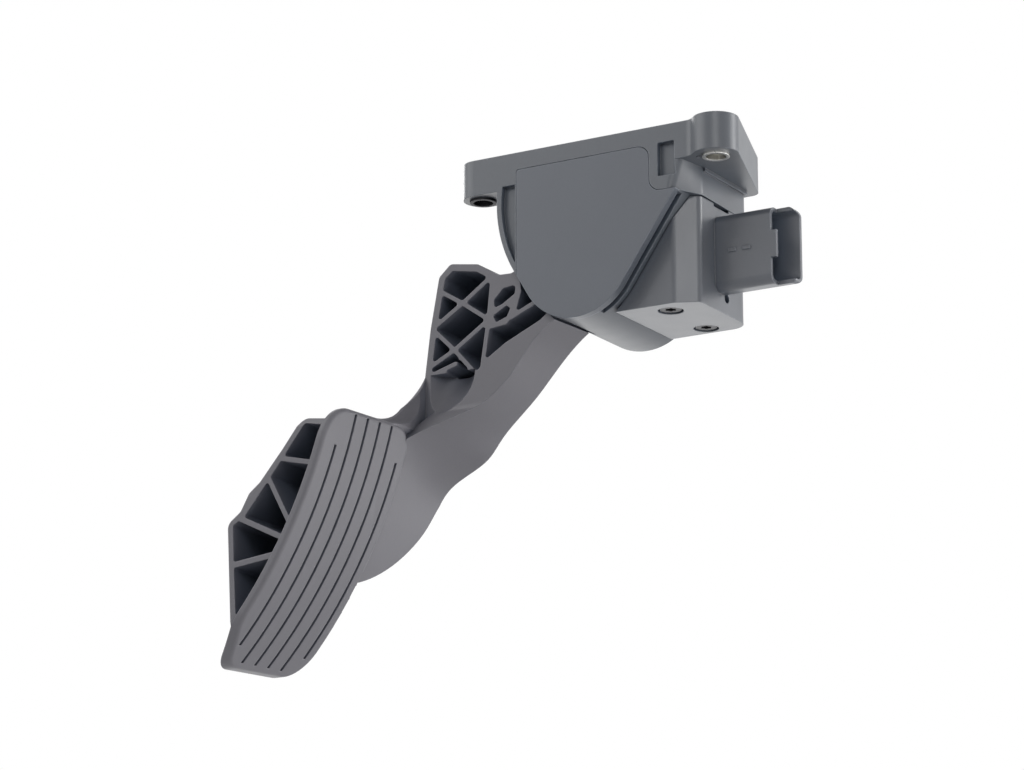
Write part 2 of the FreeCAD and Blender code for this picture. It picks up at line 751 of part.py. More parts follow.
def make_sensor_housing():
    shell = sensor_block(0.0)
    end_x = sensor_end()
    floor_clear = block(14.5, 60, 0, housing_width, -80, 0)
    shell = shell.cut(sensor_block(sensor_wall).common(floor_clear))
    y0 = connector_near
    y1 = connector_near + connector_depth
    z1 = -connector_top
    z0 = z1 - connector_height
    shroud = front_prism([
        (y0, z0, connector_corner),
        (y1, z0, connector_corner),
        (y1, z1, connector_corner),
        (y0, z1, connector_corner),
    ], end_x - 0.5, end_x + connector_far_length)
    mouth = front_prism([
        (y0 + connector_wall, z0 + connector_wall, connector_corner - connector_wall),
        (y1 - connector_wall, z0 + connector_wall, connector_corner - connector_wall),
        (y1 - connector_wall, z1 - connector_wall, connector_corner - connector_wall),
        (y0 + connector_wall, z1 - connector_wall, connector_corner - connector_wall),
    ], end_x + connector_root, end_x + connector_far_length + 1)
    middle = (z0 + z1) / 2
    step = block(end_x + connector_near_length, end_x + connector_far_length + 1, y0 - 1, y0 + step_depth,
                 z0 - 1, z1 + 1)
    tongue = block(end_x + connector_near_length - 2, end_x + connector_near_length + 2.1, y0, y0 + connector_wall,
                   middle - 4.8, middle + 4.8)
    corner_keep = side_prism([
        (end_x - 1, z0 - 1),
        (end_x + connector_far_length, z0, 2.0),
        (end_x + connector_far_length, z1, 3.2),
        (end_x - 1, z1 + 1),
    ], 0, housing_width)
    shroud = join([shroud.cut(step), tongue]).common(corner_keep).cut(mouth)
    columns = [
        upright(screw_x, y, screw_column_radius, -sensor_bottom, -joint_height - 24.3)
        for y in (screw_near, screw_far)
    ]
    ledges = [
        block(board_x() - 2.4, board_x() - 0.02, y, y + 2.5, -56.0, -36.0)
        for y in (rail_back + sensor_wall, sensor_far - sensor_wall - 2.5)
    ]
    dashes = [
        block(end_x + start, end_x + start + dash[0], y0 - dash[2], y0 + 0.5,
              middle - dash[1] / 2, middle + dash[1] / 2)
        for start in (5.4, 10.8)
    ]
    whole = join([shell, shroud] + dashes + columns + ledges)
    groove = belly(seal_thickness).common(seal_frame(0.05))
    notch = block(end_x - 1.6, end_x + 1.0, rail_back + 14.0, rail_back + 25.0, -joint_height - 1.3, -joint_height)
    cuts = [belly(seal_gap), groove, notch]
    for y in (screw_near, screw_far):
        cuts.append(upright(screw_x, y, screw_recess_radius, -sensor_bottom - 1, -sensor_bottom + 2.6))
        cuts.append(upright(screw_x, y, screw_shank_radius + 0.2, -sensor_bottom - 1, -joint_height - 24))
    for z in terminal_heights():
        cuts.append(block(end_x - 4, end_x + connector_root + 1, terminal_y() - terminal_thick / 2,
                          terminal_y() + terminal_thick / 2, z - terminal_high / 2, z + terminal_high / 2))
    drain = Part.makeCylinder(1.7, 2.0, V(end_x - sensor_wall + 0.7, near_y + 30.7, z0 - 0.7), V(1, 0, 0))
    cuts.append(drain)
    return less(whole, cuts)


def board_x():
    return housing_right - 5.1


def terminal_y():
    return connector_near + connector_depth / 2


def terminal_heights():
    middle = -connector_top - connector_height / 2
    return [middle + (i - (terminal_count - 1) / 2) * terminal_pitch for i in range(terminal_count)]


def make_terminal(z):
    end_x = housing_right + 0.2
    pin = block(board_x() - 0.6, end_x + terminal_reach, terminal_y() - terminal_thick / 2,
                terminal_y() + terminal_thick / 2, z - terminal_high / 2, z + terminal_high / 2)
    tips = [e for e in pin.Edges if abs(e.CenterOfMass.x - end_x - terminal_reach) < 0.01]
    return pin.makeChamfer(0.25, tips)


def make_board():
    board = block(board_x(), board_x() + board_thickness, rail_back + sensor_wall + 0.3, sensor_far - sensor_wall - 4,
                  -58.0, -31.4)
    corner = plan_prism([
        (board_x() - 1, rail_back),
        (board_x() + 3, rail_back),
        (board_x() + 3, rail_back + chamfer_y + sensor_wall + 1.6),
        (board_x() - 1, rail_back + sensor_wall + 1.2),
    ], -80, 0)
    slots = [
        block(board_x() - 1, board_x() + 3, terminal_y() - terminal_thick / 2, terminal_y() + terminal_thick / 2,
              z - terminal_high / 2, z + terminal_high / 2)
        for z in terminal_heights()
    ]
    return less(board, [corner] + slots)


# The seal's frame, inside the thickness of the sensor housing's wall
def seal_frame(gap):
    return sensor_block(seal_inset - gap).cut(sensor_block(seal_inset + seal_width + gap))


def make_seal():
    return belly(seal_thickness - 0.05).cut(belly(0.05)).common(seal_frame(0.0))


def make_carrier():
    return block(24.6, board_x(), 22.6, 36.2, -57.2, -50.2)


def make_chip(y):
    return block(23.2, 24.6, y, y + 4.0, -55.6, -50.6)


def make_screw(y):
    head = upright(screw_x, y, screw_head_radius, -sensor_bottom + 0.4, -sensor_bottom + 2.6)
    shank = upright(screw_x, y, screw_shank_radius - 0.03, -sensor_bottom + 2.0, -joint_height - 12.0)
    socket = Part.makeCylinder(1.5, 1.4, V(screw_x, near_y + y, -sensor_bottom + 0.3), V(0, 0, 1))
    return join([head, shank]).cut(socket)


def make_magnet_carrier():
    body = sector(hub_radius + 0.02, hub_radius + 3.0, magnet_heading - 34, magnet_heading + 34, 14.0, 28.4)
    return body.cut(magnet_sector(0.0))


def make_magnet():
    return magnet_sector(0.03)


def magnet_sector(gap):
    return sector(hub_radius + 1.0 + gap, hub_radius + 3.8, magnet_heading - 24, magnet_heading + 24, 16.5 + gap,
                  27.0 - gap)


# A ring sector about the pivot, between two angles of the side view
def sector(r_in, r_out, from_deg, to_deg, y_from, y_to):
    ring = drum(pivot, r_out, y_from, y_to).cut(drum(pivot, r_in, y_from - 1, y_to + 1))
    middle = math.radians((from_deg + to_deg) / 2)
    half = math.radians((to_deg - from_deg) / 2)
    reach = r_out * 3
    wedge = side_prism([
        (pivot[0], pivot[1]),
        (pivot[0] + reach * math.cos(middle - half), pivot[1] + reach * math.sin(middle - half)),
        (pivot[0] + reach * math.cos(middle + half), pivot[1] + reach * math.sin(middle + half)),
    ], y_from - 1, y_to + 1)
    return ring.common(wedge)


def make_spring(mean_radius, wire, turns):
    start = crank_half + wire / 2
    length = spring_seat_x - crank_half - wire
    helix = Part.makeHelix(length / turns, length, mean_radius)
    section = Part.Wire(Part.makeCircle(wire / 2, V(mean_radius, 0, 0), V(0, 1, 0)))
    coil = Part.Wire(helix).makePipeShell([section], True, True)
    coil.rotate(V(0, 0, 0), V(0, 1, 0), 90)
    coil.translate(V(start, near_y + spring_row, pivot[1] + spring_lift))
    return coil


def make_friction_lever():
    y0 = spring_row - 5.0
    y1 = spring_row + 5.0
    seat_z = pivot[1] + spring_lift
    body = side_prism([
        (spring_seat_x, seat_z + 6.5),
        (spring_seat_x, seat_z - 6.5),
        (18.2, -36.0),
        (16.0, -41.0),
        (14.6, -46.5, 1.0),
        (17.2, -48.0, 1.0),
        (20.0, -41.0),
        (25.4, -31.5, 1.5),
        (spring_seat_x + 0.9, seat_z - 5.0),
        (spring_seat_x + 0.9, seat_z + 6.5),
    ], y0, y1)
    shoe = sector(hub_radius + 0.3, hub_radius + 5.0, -24, 16, y0, y1)
    inside = cover_prism(chamber_wall + 0.3, chamber_wall + 0.3, 0, housing_width)
    stub = Part.makeCylinder(inner_spring_radius - inner_wire / 2 - 0.3, 3.0,
                             V(spring_seat_x - 3.0, near_y + spring_row, seat_z), V(1, 0, 0))
    whole = join([body, shoe]).common(inside)
    whole = join([whole, stub])
    return whole.cut(drum(lever_pin_place(), 1.5 + running_clearance, 0, housing_width))


def make_lever_pin():
    return drum(lever_pin_place(), 1.5, spring_row - 5.5, housing_width - far_wall)


def make_rest_stop():
    pad_face = -crank_half - 0.1
    z = pivot[1] + spring_lift
    return block(-8.6, pad_face, spring_row - 4.5, spring_row + 4.5, z - 3.5, z + 3.5)


def make_travel_stop():
    return block(-29.4, -24.2, 8.0, 20.0, -33.8, -arm_window_top)


def main():
    os.makedirs("parts", exist_ok=True)
    pieces = {
        "housing": make_housing(),
        "side_cover": make_side_cover(),
        "pedal_arm": make_arm(),
        "pivot_pin": make_pin(),
        "bush_near": make_bush(bush_starts()[0]),
        "bush_far": make_bush(bush_starts()[1]),
        "sensor_housing": make_sensor_housing(),
        "sensor_seal": make_seal(),
        "circuit_board": make_board(),
        "chip_carrier": make_carrier(),
        "hall_chip_1": make_chip(24.0),
        "hall_chip_2": make_chip(30.0),
        "magnet_carrier": make_magnet_carrier(),
        "magnet": make_magnet(),
        "return_spring_outer": make_spring(outer_spring_radius, outer_wire, 5.0),
        "return_spring_inner": make_spring(inner_spring_radius, inner_wire, 7.0),
        "friction_lever": make_friction_lever(),
        "lever_pin": make_lever_pin(),
        "rest_stop": make_rest_stop(),
        "travel_stop": make_travel_stop(),
    }
    for i, (x, y) in enumerate((left_lug, right_lug, far_lug)):
        pieces["mounting_sleeve_%d" % (i + 1)] = make_sleeve(x, y)
    for i, z in enumerate(terminal_heights()):
        pieces["terminal_%d" % (i + 1)] = make_terminal(z)
    for i, y in enumerate((screw_near, screw_far)):
        pieces["sensor_screw_%d" % (i + 1)] = make_screw(y)
    for name, shape in pieces.items():
        solids = shape.Solids
        size = shape.BoundBox
        print(name, "solids", len(solids), "valid", shape.isValid(), "volume %.0f" % shape.Volume,
              "x %.1f %.1f" % (size.XMin, size.XMax), "y %.1f %.1f" % (size.YMin, size.YMax),
              "z %.1f %.1f" % (size.ZMin, size.ZMax))
        if len(solids) == 1:
            shape = solids[0]
        shape.exportStep("parts/%s.step" % name)


main()
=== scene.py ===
import json
import math
import bpy
from mathutils import Matrix, Vector


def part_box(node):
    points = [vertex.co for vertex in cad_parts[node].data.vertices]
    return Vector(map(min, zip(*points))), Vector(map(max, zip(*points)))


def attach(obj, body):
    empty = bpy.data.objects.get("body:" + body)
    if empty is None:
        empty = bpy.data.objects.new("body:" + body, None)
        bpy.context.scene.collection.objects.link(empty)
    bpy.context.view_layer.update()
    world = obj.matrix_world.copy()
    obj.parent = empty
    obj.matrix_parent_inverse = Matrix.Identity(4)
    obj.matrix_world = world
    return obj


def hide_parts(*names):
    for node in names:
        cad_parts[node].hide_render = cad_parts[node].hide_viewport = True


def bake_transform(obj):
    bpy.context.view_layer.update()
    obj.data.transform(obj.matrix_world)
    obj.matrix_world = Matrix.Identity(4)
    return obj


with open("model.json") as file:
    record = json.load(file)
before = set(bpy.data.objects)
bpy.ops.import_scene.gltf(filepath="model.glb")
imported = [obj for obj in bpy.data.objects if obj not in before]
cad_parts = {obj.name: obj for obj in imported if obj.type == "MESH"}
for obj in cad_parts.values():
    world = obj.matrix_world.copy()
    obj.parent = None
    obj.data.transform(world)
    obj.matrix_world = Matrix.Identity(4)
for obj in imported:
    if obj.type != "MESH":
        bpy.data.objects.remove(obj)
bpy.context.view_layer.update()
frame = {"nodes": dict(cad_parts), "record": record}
nodes = frame["nodes"]
record = frame["record"]
scene = bpy.context.scene
millimetre = 0.001
print("frame loaded:", len(nodes), "nodes")


# Helpers for shader and geometry trees

# Links each input to a socket, or sets it to a plain value
def fillInputs(tree, node, values):
    for label, value in values.items():
        if isinstance(value, bpy.types.NodeSocket):
            tree.links.new(value, node.inputs[label])
        else:
            node.inputs[label].default_value = value


def addNode(tree, kind, values, **settings):
    node = tree.nodes.new(kind)
    for label, value in settings.items():
        setattr(node, label, value)
    fillInputs(tree, node, values)
    return node


def newGroup(name, kind, inputs, outputs):
    group = bpy.data.node_groups.new(name, kind)
    for label, socketType, value in inputs:
        socket = group.interface.new_socket(name=label, in_out="INPUT", socket_type=socketType)
        socket.default_value = value
    for label, socketType in outputs:
        group.interface.new_socket(name=label, in_out="OUTPUT", socket_type=socketType)
    return group, group.nodes.new("NodeGroupInput"), group.nodes.new("NodeGroupOutput")


def mathNode(tree, operation, first, second):
    return addNode(tree, "ShaderNodeMath", {0: first, 1: second}, operation=operation).outputs[0]


def vectorMath(tree, operation, values):
    return addNode(tree, "ShaderNodeVectorMath", values, operation=operation)


# Carries a value from one range to another. The limits are from low, from high, to low and to high
def rangeNode(tree, value, limits, smooth=False):
    fromLow, fromHigh, toLow, toHigh = limits
    return addNode(tree, "ShaderNodeMapRange", {
        "Value": value, "From Min": fromLow, "From Max": fromHigh, "To Min": toLow, "To Max": toHigh,
    }, interpolation_type="SMOOTHSTEP" if smooth else "LINEAR").outputs["Result"]


def noiseNode(tree, vector, scale, detail, roughness=0.5):
    return addNode(tree, "ShaderNodeTexNoise", {
        "Vector": vector, "Scale": scale, "Detail": detail, "Roughness": roughness,
    }).outputs["Fac"]


# How far a noise swings from its middle, times an amount
def swingNode(tree, noise, amount):
    return mathNode(tree, "MULTIPLY", mathNode(tree, "SUBTRACT", noise, 0.5), amount)


def objectPlace(tree):
    return tree.nodes.new("ShaderNodeTexCoord").outputs["Object"]


# The fine eroded grain of a mould's steel, and the slow clouding of glass filled plastic
grainMix = {"grainDetail": 3.0, "grainRoughness": 0.6, "cloudDetail": 4.0, "flowDetail": 2.0,
            "flowFineness": 5.0, "grainShare": 0.7, "pitShare": 0.5, "cloudSwing": 1.0, "flowSwing": 0.5,
            "fleckSwing": 1.3}


def makeMouldGrain():
    group, into, out = newGroup("mouldGrain", "ShaderNodeTree", [
        ("Grain Size", "NodeSocketFloat", 0.0005),
        ("Cloud Size", "NodeSocketFloat", 0.03),
        ("Cloud Amount", "NodeSocketFloat", 0.06),
        ("Roughness", "NodeSocketFloat", 0.6),
        ("Roughness Spread", "NodeSocketFloat", 0.08),
    ], [("Height", "NodeSocketFloat"), ("Shade", "NodeSocketFloat"), ("Roughness", "NodeSocketFloat")])
    place = objectPlace(group)
    grainScale = mathNode(group, "DIVIDE", 1.0, into.outputs["Grain Size"])
    cloudScale = mathNode(group, "DIVIDE", 1.0, into.outputs["Cloud Size"])
    flowScale = mathNode(group, "MULTIPLY", cloudScale, grainMix["flowFineness"])
    grain = noiseNode(group, place, grainScale, grainMix["grainDetail"], grainMix["grainRoughness"])
    pits = addNode(group, "ShaderNodeTexVoronoi", {"Vector": place, "Scale": grainScale},
                   feature="SMOOTH_F1").outputs["Distance"]
    cloud = noiseNode(group, place, cloudScale, grainMix["cloudDetail"])
    flow = noiseNode(group, place, flowScale, grainMix["flowDetail"])
    height = mathNode(group, "ADD", mathNode(group, "MULTIPLY", grain, grainMix["grainShare"]),
                      mathNode(group, "MULTIPLY", pits, grainMix["pitShare"]))
    swing = mathNode(group, "ADD", swingNode(group, cloud, grainMix["cloudSwing"]),
                     swingNode(group, flow, grainMix["flowSwing"]))
    swing = mathNode(group, "ADD", swing, swingNode(group, grain, grainMix["fleckSwing"]))
    shade = mathNode(group, "ADD", 1.0, mathNode(group, "MULTIPLY", swing, into.outputs["Cloud Amount"]))
    spread = swingNode(group, flow, into.outputs["Roughness Spread"])
    roughness = mathNode(group, "ADD", into.outputs["Roughness"], spread)
    fillInputs(group, out, {"Height": height, "Shade": shade, "Roughness": roughness})
    return group


# Edges rounded as a mould leaves them, with a mask that lightens the edges: part handling wear, part
# painted highlight
edgeWearAndHighlight = {"samples": 6, "wearHighlightWidth": 1.7, "turned": (0.99, 0.8, 0.0, 1.0),
            "patchScale": 160.0, "patchDetail": 3.0, "patches": (0.35, 0.65, 0.3, 1.0)}


def makeSoftEdge():
    group, into, out = newGroup("softEdge", "ShaderNodeTree", [
        ("Radius", "NodeSocketFloat", 0.0005),
        ("Wear And Highlight Amount", "NodeSocketFloat", 0.5),
    ], [("Normal", "NodeSocketVector"), ("Wear And Highlight", "NodeSocketFloat")])
    radius = into.outputs["Radius"]
    wearHighlightRadius = mathNode(group, "MULTIPLY", radius, edgeWearAndHighlight["wearHighlightWidth"])
    edge = addNode(group, "ShaderNodeBevel", {"Radius": radius}, samples=edgeWearAndHighlight["samples"])
    wearHighlightBevel = addNode(group, "ShaderNodeBevel", {"Radius": wearHighlightRadius}, samples=edgeWearAndHighlight["samples"])
    surface = group.nodes.new("ShaderNodeNewGeometry")
    agree = vectorMath(group, "DOT_PRODUCT", {0: wearHighlightBevel.outputs["Normal"], 1: surface.outputs["Normal"]})
    turned = rangeNode(group, agree.outputs["Value"], edgeWearAndHighlight["turned"])
    patch = noiseNode(group, objectPlace(group), edgeWearAndHighlight["patchScale"], edgeWearAndHighlight["patchDetail"])
    broken = mathNode(group, "MULTIPLY", turned, rangeNode(group, patch, edgeWearAndHighlight["patches"]))
    wearAndHighlight = mathNode(group, "MULTIPLY", broken, into.outputs["Wear And Highlight Amount"])
    fillInputs(group, out, {"Normal": edge.outputs["Normal"], "Wear And Highlight": wearAndHighlight})
    return group


# Painted shade: deep pockets are mixed to a darker, bluer colour, and seams and corners are darkened,
# wherever ambient occlusion finds them shut in
shadeMasks = {"samples": 8, "hidden": (0.08, 0.7, 1.0, 0.0), "corner": (0.5, 0.92, 1.0, 0.0)}


def makePaintedShade():
    group, into, out = newGroup("paintedShade", "ShaderNodeTree", [
        ("Pocket Reach", "NodeSocketFloat", 0.02),
        ("Seam Reach", "NodeSocketFloat", 0.001),
        ("Seam Shade", "NodeSocketFloat", 0.4),
    ], [("Pocket Shade", "NodeSocketFloat"), ("Unshaded", "NodeSocketFloat")])
    masks = {}
    for mask, reach in (("hidden", "Pocket Reach"), ("corner", "Seam Reach")):
        around = addNode(group, "ShaderNodeAmbientOcclusion", {"Distance": into.outputs[reach]},
                         samples=shadeMasks["samples"])
        masks[mask] = rangeNode(group, around.outputs["AO"], shadeMasks[mask])
    # Painted shade in seams and corners: the base colour is darkened by this amount
    seamShading = mathNode(group, "MULTIPLY", masks["corner"], into.outputs["Seam Shade"])
    unshaded = mathNode(group, "SUBTRACT", 1.0, seamShading)
    fillInputs(group, out, {"Pocket Shade": masks["hidden"], "Unshaded": unshaded})
    return group


# Fine lines left by drawing, turning or rolling, along one axis
lineMix = {"lineDetail": 4.0, "lineRoughness": 0.65, "lineShade": (0.3, 0.7, 0.9, 1.05),
           "stainScale": 180.0, "stainDetail": 3.0, "stainSwing": 0.2}


def makeDrawnLines():
    group, into, out = newGroup("drawnLines", "ShaderNodeTree", [
        ("Line Size", "NodeSocketFloat", 0.0002),
        ("Stretch", "NodeSocketVector", (1.0, 1.0, 0.05)),
        ("Roughness", "NodeSocketFloat", 0.3),
        ("Roughness Spread", "NodeSocketFloat", 0.2),
    ], [("Height", "NodeSocketFloat"), ("Shade", "NodeSocketFloat"), ("Roughness", "NodeSocketFloat")])
    place = objectPlace(group)
    stretched = vectorMath(group, "MULTIPLY", {0: place, 1: into.outputs["Stretch"]}).outputs["Vector"]
    scale = mathNode(group, "DIVIDE", 1.0, into.outputs["Line Size"])
    lines = noiseNode(group, stretched, scale, lineMix["lineDetail"], lineMix["lineRoughness"])
    stain = noiseNode(group, place, lineMix["stainScale"], lineMix["stainDetail"])
    shade = mathNode(group, "ADD", rangeNode(group, lines, lineMix["lineShade"]),
                     swingNode(group, stain, lineMix["stainSwing"]))
    spread = swingNode(group, lines, into.outputs["Roughness Spread"])
    roughness = mathNode(group, "ADD", into.outputs["Roughness"], spread)
    fillInputs(group, out, {"Height": lines, "Shade": shade, "Roughness": roughness})
    return group


mouldGrain = makeMouldGrain()
softEdge = makeSoftEdge()
paintedShade = makePaintedShade()
drawnLines = makeDrawnLines()


# Helpers for materials

def placeGroup(tree, group, values):
    return addNode(tree, "ShaderNodeGroup", values, node_tree=group)


def newMaterial(name, colour):
    material = bpy.data.materials.new(name)
    material.use_nodes = True
    material.diffuse_color = (*colour, 1.0)
    tree = material.node_tree
    return material, tree, tree.nodes["Principled BSDF"]


# A colour made lighter or darker by a value that is about 1
def shadedColour(tree, colour, shade):
    return vectorMath(tree, "SCALE", {0: colour, "Scale": shade}).outputs["Vector"]


# The Mix node's colour inputs are numbers 6 and 7, and its colour output is number 2
def mixedColour(tree, mask, first, second):
    values = {0: mask, 6: first, 7: (*second, 1.0)}
    return addNode(tree, "ShaderNodeMix", values, data_type="RGBA").outputs[2]


def bumpNormal(tree, height, distance, strength, under=None):
    values = {"Height": height, "Distance": distance, "Strength": strength}
    if under is not None:
        values["Normal"] = under
    return addNode(tree, "ShaderNodeBump", values).outputs["Normal"]


# Plastics and rubbers: colour, sheen, the size of the mould's grain and the softness of edges
# The edge lift of the housing, cover and sensor lightens their edges: part handling wear, part painted
# highlight
plasticLooks = {
    "housing_plastic": {"colour": (0.086, 0.094, 0.108), "rough": 0.38, "grain": 0.00045, "edge": 0.00045,
                        "wearHighlightLift": 2.2},
    "cover_plastic": {"colour": (0.085, 0.094, 0.112), "rough": 0.38, "grain": 0.0004, "edge": 0.0004,
                      "wearHighlightLift": 2.2},
    "sensor_plastic": {"colour": (0.099, 0.106, 0.121), "rough": 0.32, "grain": 0.00035, "edge": 0.00045,
                       "wearHighlightLift": 2.0},
    "arm_plastic": {"colour": (0.112, 0.11, 0.124), "rough": 0.5, "grain": 0.0005, "edge": 0.0005},
    "bush_polymer": {"colour": (0.5, 0.48, 0.4), "rough": 0.38, "grain": 0.0003, "edge": 0.0002},
    "lever_polymer": {"colour": (0.62, 0.6, 0.53), "rough": 0.42, "grain": 0.0003, "edge": 0.0003},
    "chip_resin": {"colour": (0.018, 0.018, 0.019), "rough": 0.6, "grain": 0.0001, "edge": 0.0001},
    "stop_rubber": {"colour": (0.022, 0.022, 0.022), "rough": 0.82, "grain": 0.0006, "edge": 0.0005},
    "seal_rubber": {"colour": (0.035, 0.035, 0.04), "rough": 0.75, "grain": 0.0004, "edge": 0.0003},
}
# The pocket tint and the seam darkening paint shade into the base colour; the edge lift paints part
# handling wear, part highlight
plasticShared = {"cloudSize": 0.035, "cloudAmount": 0.13, "roughSpread": 0.08, "grainDepth": 0.00006,
                 "grainStrength": 0.3, "wearHighlightAmount": 0.8, "wearHighlightLift": 1.8, "specular": 0.5,
                 "pocketReach": 0.02, "seamReach": 0.0014, "seamShade": 0.45, "pocketShadeTint": (0.8, 0.96, 1.16)}


def makePlastic(slotName, look):
    material, tree, shader = newMaterial(slotName, look["colour"])
    grain = placeGroup(tree, mouldGrain, {
        "Grain Size": look["grain"], "Cloud Size": plasticShared["cloudSize"],
        "Cloud Amount": plasticShared["cloudAmount"], "Roughness": look["rough"],
        "Roughness Spread": plasticShared["roughSpread"],
    })
    edge = placeGroup(tree, softEdge, {"Radius": look["edge"], "Wear And Highlight Amount": plasticShared["wearHighlightAmount"]})
    deep = placeGroup(tree, paintedShade, {
        "Pocket Reach": plasticShared["pocketReach"], "Seam Reach": plasticShared["seamReach"],
        "Seam Shade": plasticShared["seamShade"],
    })
    unshaded = deep.outputs["Unshaded"]
    wearHighlightLift = look.get("wearHighlightLift", plasticShared["wearHighlightLift"])
    # Painted shade: the darker, bluer colour that deep pockets are mixed to
    pocketShadeColour = tuple(part * tint for part, tint in zip(look["colour"], plasticShared["pocketShadeTint"]))
    wearAndHighlight = tuple(min(1.0, part * wearHighlightLift) for part in look["colour"])
    body = shadedColour(tree, look["colour"], grain.outputs["Shade"])
    body = mixedColour(tree, deep.outputs["Pocket Shade"], body, pocketShadeColour)
    # Edges lightened: part handling wear, part painted highlight
    body = mixedColour(tree, mathNode(tree, "MULTIPLY", edge.outputs["Wear And Highlight"], unshaded), body, wearAndHighlight)
    fillInputs(tree, shader, {
        # Painted shade in seams and corners darkens the whole colour here
        "Base Color": shadedColour(tree, body, unshaded),
        "Roughness": grain.outputs["Roughness"],
        "Specular IOR Level": plasticShared["specular"],
        "Normal": bumpNormal(tree, grain.outputs["Height"], plasticShared["grainDepth"],
                             plasticShared["grainStrength"], edge.outputs["Normal"]),
    })
    return material


# Metals: the lines run along the axis where the stretch is small
metalLooks = {
    "sleeve_steel": {"colour": (0.72, 0.71, 0.68), "rough": 0.3, "line": 0.0005, "edge": 0.0003,
                     "stretch": (1.0, 1.0, 0.08)},
    # A darker copy of the sleeve steel: painted shade for a sleeve whose end lies in shadow
    "shaded_steel": {"colour": (0.05, 0.05, 0.055), "rough": 0.55, "line": 0.0005, "edge": 0.0003,
                     "stretch": (1.0, 1.0, 0.08)},
    "pin_steel": {"colour": (0.6, 0.61, 0.63), "rough": 0.24, "line": 0.0002, "edge": 0.0003,
                  "stretch": (0.1, 1.0, 0.1)},
    "screw_steel": {"colour": (0.07, 0.07, 0.075), "rough": 0.45, "line": 0.0003, "edge": 0.0002,
                    "stretch": (1.0, 1.0, 1.0)},
    "spring_steel": {"colour": (0.32, 0.32, 0.34), "rough": 0.36, "line": 0.0002, "edge": 0.0001,
                     "stretch": (0.3, 1.0, 1.0)},
    "terminal_tin": {"colour": (0.66, 0.65, 0.6), "rough": 0.32, "line": 0.0001, "edge": 0.0001,
                     "stretch": (0.05, 1.0, 1.0)},
    "magnet_ferrite": {"colour": (0.09, 0.09, 0.095), "rough": 0.6, "line": 0.0002, "edge": 0.0002,
                       "stretch": (1.0, 1.0, 1.0), "metallic": 0.35},
}
metalShared = {"metallic": 1.0, "roughSpread": 0.22, "lineDepth": 0.00003, "lineStrength": 0.3, "wearHighlightAmount": 0.6,
               "wearHighlightLift": 1.3, "rubShine": 0.05}


def makeMetal(slotName, look):
    material, tree, shader = newMaterial(slotName, look["colour"])
    lines = placeGroup(tree, drawnLines, {
        "Line Size": look["line"], "Stretch": look["stretch"], "Roughness": look["rough"],
        "Roughness Spread": metalShared["roughSpread"],
    })
    edge = placeGroup(tree, softEdge, {"Radius": look["edge"], "Wear And Highlight Amount": metalShared["wearHighlightAmount"]})
    wearHighlightLift, rubShine = metalShared["wearHighlightLift"], metalShared["rubShine"]
    bright = tuple(min(1.0, part * wearHighlightLift + rubShine) for part in look["colour"])
    body = shadedColour(tree, look["colour"], lines.outputs["Shade"])
    fillInputs(tree, shader, {
        "Base Color": mixedColour(tree, edge.outputs["Wear And Highlight"], body, bright),
        "Metallic": look.get("metallic", metalShared["metallic"]),
        "Roughness": lines.outputs["Roughness"],
        "Normal": bumpNormal(tree, lines.outputs["Height"], metalShared["lineDepth"],
                             metalShared["lineStrength"], edge.outputs["Normal"]),
    })
    return material


# Circuit board: solder mask over tracks that show as faint raised lines
boardLook = {"mask": (0.012, 0.09, 0.035), "track": (0.02, 0.16, 0.06), "pitch": 0.0016, "trackWidth": 0.12,
             "trackSoftness": 0.2, "trackDepth": 0.00003, "trackStrength": 0.5, "coat": 0.4,
             "dustScale": 700.0, "dustDetail": 3.0, "dustShade": (0.3, 0.7, 0.85, 1.15),
             "dustRoughness": (0.3, 0.7, 0.28, 0.4)}


def makeBoard(slotName):
    material, tree, shader = newMaterial(slotName, boardLook["mask"])
    place = objectPlace(tree)
    turned = addNode(tree, "ShaderNodeMapping", {
        "Vector": place, "Rotation": (0.0, math.radians(90.0), 0.0),
    }).outputs["Vector"]
    tracks = addNode(tree, "ShaderNodeTexBrick", {
        "Vector": turned, "Scale": 1.0 / boardLook["pitch"],
        "Mortar Size": boardLook["trackWidth"], "Mortar Smooth": boardLook["trackSoftness"],
    }).outputs["Fac"]
    dust = noiseNode(tree, place, boardLook["dustScale"], boardLook["dustDetail"])
    body = shadedColour(tree, boardLook["mask"], rangeNode(tree, dust, boardLook["dustShade"]))
    fillInputs(tree, shader, {
        "Base Color": mixedColour(tree, tracks, body, boardLook["track"]),
        "Roughness": rangeNode(tree, dust, boardLook["dustRoughness"]),
        "Coat Weight": boardLook["coat"],
        "Normal": bumpNormal(tree, tracks, boardLook["trackDepth"], boardLook["trackStrength"]),
    })
    return material


materials = {slotName: makePlastic(slotName, look) for slotName, look in plasticLooks.items()}
materials.update({slotName: makeMetal(slotName, look) for slotName, look in metalLooks.items()})
materials["board_laminate"] = makeBoard("board_laminate")
for row in record["subparts"]:
    nodeMesh = nodes[row["node"]].data
    nodeMesh.materials.clear()
    nodeMesh.materials.append(materials[row["material_slot"]])
# The left sleeve gets the darker copy of the steel: painted shade, where the end of its hole lies in shadow
nodes["mounting_sleeve_1"].data.materials[0] = materials["shaded_steel"]
print("materials placed:", len(materials))


# Helpers for geometry

def upVector(tree, height):
    return addNode(tree, "ShaderNodeCombineXYZ", {"Z": height}).outputs[0]


def circleCurve(tree, points, radius):
    values = {"Resolution": points, "Radius": radius}
    return addNode(tree, "GeometryNodeCurvePrimitiveCircle", values).outputs["Curve"]


def spiralCurve(tree, points, turns, radius, height):
    return addNode(tree, "GeometryNodeCurveSpiral", {
        "Resolution": points, "Rotations": turns, "Start Radius": radius, "End Radius": radius,
        "Height": height,
    }).outputs["Curve"]


